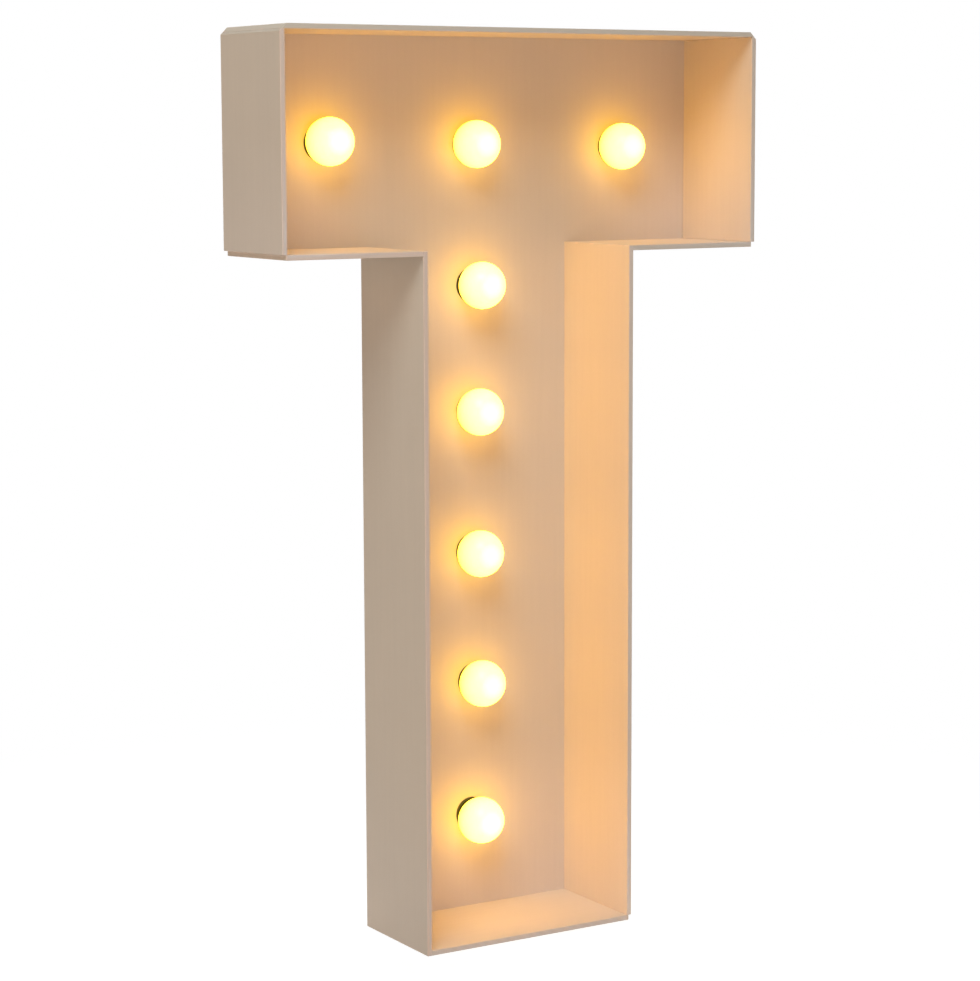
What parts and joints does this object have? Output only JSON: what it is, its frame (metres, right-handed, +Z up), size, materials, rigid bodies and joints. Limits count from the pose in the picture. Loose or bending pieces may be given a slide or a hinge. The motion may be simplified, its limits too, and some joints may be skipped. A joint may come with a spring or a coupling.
{
  "type": "light-up letter",
  "caption": "Free-standing light-up letter T: an open-fronted board case with screw-in globe bulbs, a rear wiring cover, a rocker switch and a mains inlet.",
  "frame": {"origin": "middle of the case's foot, on the floor", "axes": "+Z up the letter, +X to the letter's right seen from the front, the open front faces -Y"},
  "size_m": [0.54, 0.1732, 0.9],
  "materials": {
    "painted_board": "warm white satin paint on rigid foam board",
    "painted_panel": "warm white satin paint on rigid foam board",
    "cover_plastic": "fine-textured moulded sheet",
    "screw_steel": "zinc plated",
    "holder_plastic": "black moulded",
    "contact_brass": "plain brass",
    "lit_globe": "frosted, lit",
    "cap_metal": "nickel plated",
    "core_plastic": "white moulded",
    "cable_sheath": "black sheath",
    "block_plastic": "natural nylon",
    "lead_sheath": "brown insulation",
    "switch_plastic": "black moulded",
    "rocker_plastic": "black moulded, white marks",
    "inlet_plastic": "black moulded",
    "pin_metal": "nickel plated"
  },
  "bodies": {
    "case": {"top_panel": "painted_board", "bar_left_panel": "painted_board", "bar_right_panel": "painted_board", "bar_underside_left": "painted_board", "bar_underside_right": "painted_board", "stem_left_panel": "painted_board", "stem_right_panel": "painted_board", "bottom_panel": "painted_board", "light_panel": "painted_panel", "rear_cover": "cover_plastic", "rear_cover_screws": "screw_steel", "lampholder_1": "holder_plastic", "lampholder_2": "holder_plastic", "lampholder_3": "holder_plastic", "lampholder_4": "holder_plastic", "lampholder_5": "holder_plastic", "lampholder_6": "holder_plastic", "lampholder_7": "holder_plastic", "lampholder_8": "holder_plastic", "lampholder_caps": "holder_plastic", "lampholder_shells": "contact_brass", "lampholder_contacts": "contact_brass", "lampholder_terminals": "contact_brass", "lampholder_terminal_screws": "screw_steel", "lampholder_screws": "screw_steel", "lampholder_cap_screws": "screw_steel", "cable_links": "cable_sheath", "terminal_block": "block_plastic", "lead_wires": "lead_sheath", "switch_body": "switch_plastic", "switch_terminals": "contact_brass", "inlet_body": "inlet_plastic", "inlet_pins": "pin_metal", "inlet_screws": "screw_steel"},
    "bulb_1_core": {"bulb_led_1": "core_plastic"},
    "bulb_1": {"bulb_globe_1": "lit_globe", "bulb_cap_1": "cap_metal"},
    "bulb_2_core": {"bulb_led_2": "core_plastic"},
    "bulb_2": {"bulb_globe_2": "lit_globe", "bulb_cap_2": "cap_metal"},
    "bulb_3_core": {"bulb_led_3": "core_plastic"},
    "bulb_3": {"bulb_globe_3": "lit_globe", "bulb_cap_3": "cap_metal"},
    "bulb_4_core": {"bulb_led_4": "core_plastic"},
    "bulb_4": {"bulb_globe_4": "lit_globe", "bulb_cap_4": "cap_metal"},
    "bulb_5_core": {"bulb_led_5": "core_plastic"},
    "bulb_5": {"bulb_globe_5": "lit_globe", "bulb_cap_5": "cap_metal"},
    "bulb_6_core": {"bulb_led_6": "core_plastic"},
    "bulb_6": {"bulb_globe_6": "lit_globe", "bulb_cap_6": "cap_metal"},
    "bulb_7_core": {"bulb_led_7": "core_plastic"},
    "bulb_7": {"bulb_globe_7": "lit_globe", "bulb_cap_7": "cap_metal"},
    "bulb_8_core": {"bulb_led_8": "core_plastic"},
    "bulb_8": {"bulb_globe_8": "lit_globe", "bulb_cap_8": "cap_metal"},
    "rocker": {"switch_rocker": "rocker_plastic"}
  },
  "joints": [
    {"name": "bulb_1_advance", "type": "slide", "parent": "case", "child": "bulb_1_core", "axis": [0, -1, 0], "range_m": [0, 0.02178]},
    {"name": "bulb_1_turn", "type": "hinge", "parent": "bulb_1_core", "child": "bulb_1", "pos_m": [-0.168, 0.0565, 0.791], "axis": [0, -1, 0], "range_deg": [0, 2161]},
    {"name": "bulb_2_advance", "type": "slide", "parent": "case", "child": "bulb_2_core", "axis": [0, -1, 0], "range_m": [0, 0.02178]},
    {"name": "bulb_2_turn", "type": "hinge", "parent": "bulb_2_core", "child": "bulb_2", "pos_m": [-0.0005, 0.0565, 0.789], "axis": [0, -1, 0], "range_deg": [0, 2161]},
    {"name": "bulb_3_advance", "type": "slide", "parent": "case", "child": "bulb_3_core", "axis": [0, -1, 0], "range_m": [0, 0.02178]},
    {"name": "bulb_3_turn", "type": "hinge", "parent": "bulb_3_core", "child": "bulb_3", "pos_m": [0.174, 0.0565, 0.786], "axis": [0, -1, 0], "range_deg": [0, 2161]},
    {"name": "bulb_4_advance", "type": "slide", "parent": "case", "child": "bulb_4_core", "axis": [0, -1, 0], "range_m": [0, 0.02178]},
    {"name": "bulb_4_turn", "type": "hinge", "parent": "bulb_4_core", "child": "bulb_4", "pos_m": [0.003, 0.0565, 0.6481], "axis": [0, -1, 0], "range_deg": [0, 2161]},
    {"name": "bulb_5_advance", "type": "slide", "parent": "case", "child": "bulb_5_core", "axis": [0, -1, 0], "range_m": [0, 0.02178]},
    {"name": "bulb_5_turn", "type": "hinge", "parent": "bulb_5_core", "child": "bulb_5", "pos_m": [0.0025, 0.0565, 0.5212], "axis": [0, -1, 0], "range_deg": [0, 2161]},
    {"name": "bulb_6_advance", "type": "slide", "parent": "case", "child": "bulb_6_core", "axis": [0, -1, 0], "range_m": [0, 0.02178]},
    {"name": "bulb_6_turn", "type": "hinge", "parent": "bulb_6_core", "child": "bulb_6", "pos_m": [0.0015, 0.0565, 0.3768], "axis": [0, -1, 0], "range_deg": [0, 2161]},
    {"name": "bulb_7_advance", "type": "slide", "parent": "case", "child": "bulb_7_core", "axis": [0, -1, 0], "range_m": [0, 0.02178]},
    {"name": "bulb_7_turn", "type": "hinge", "parent": "bulb_7_core", "child": "bulb_7", "pos_m": [0.003, 0.0565, 0.2424], "axis": [0, -1, 0], "range_deg": [0, 2161]},
    {"name": "bulb_8_advance", "type": "slide", "parent": "case", "child": "bulb_8_core", "axis": [0, -1, 0], "range_m": [0, 0.02178]},
    {"name": "bulb_8_turn", "type": "hinge", "parent": "bulb_8_core", "child": "bulb_8", "pos_m": [0, 0.0565, 0.1025], "axis": [0, -1, 0], "range_deg": [0, 2161]},
    {"name": "rocker_tilt", "type": "hinge", "parent": "case", "child": "rocker", "pos_m": [0.045, 0.1066, 0.044], "axis": [1, 0, 0], "range_deg": [-20, 0]}
  ],
  "couplings": [
    {"joint": "bulb_1_turn", "follows": "bulb_1_advance", "rad_per_m": 1730.9},
    {"joint": "bulb_2_turn", "follows": "bulb_2_advance", "rad_per_m": 1730.9},
    {"joint": "bulb_3_turn", "follows": "bulb_3_advance", "rad_per_m": 1730.9},
    {"joint": "bulb_4_turn", "follows": "bulb_4_advance", "rad_per_m": 1730.9},
    {"joint": "bulb_5_turn", "follows": "bulb_5_advance", "rad_per_m": 1730.9},
    {"joint": "bulb_6_turn", "follows": "bulb_6_advance", "rad_per_m": 1730.9},
    {"joint": "bulb_7_turn", "follows": "bulb_7_advance", "rad_per_m": 1730.9},
    {"joint": "bulb_8_turn", "follows": "bulb_8_advance", "rad_per_m": 1730.9}
  ]
}
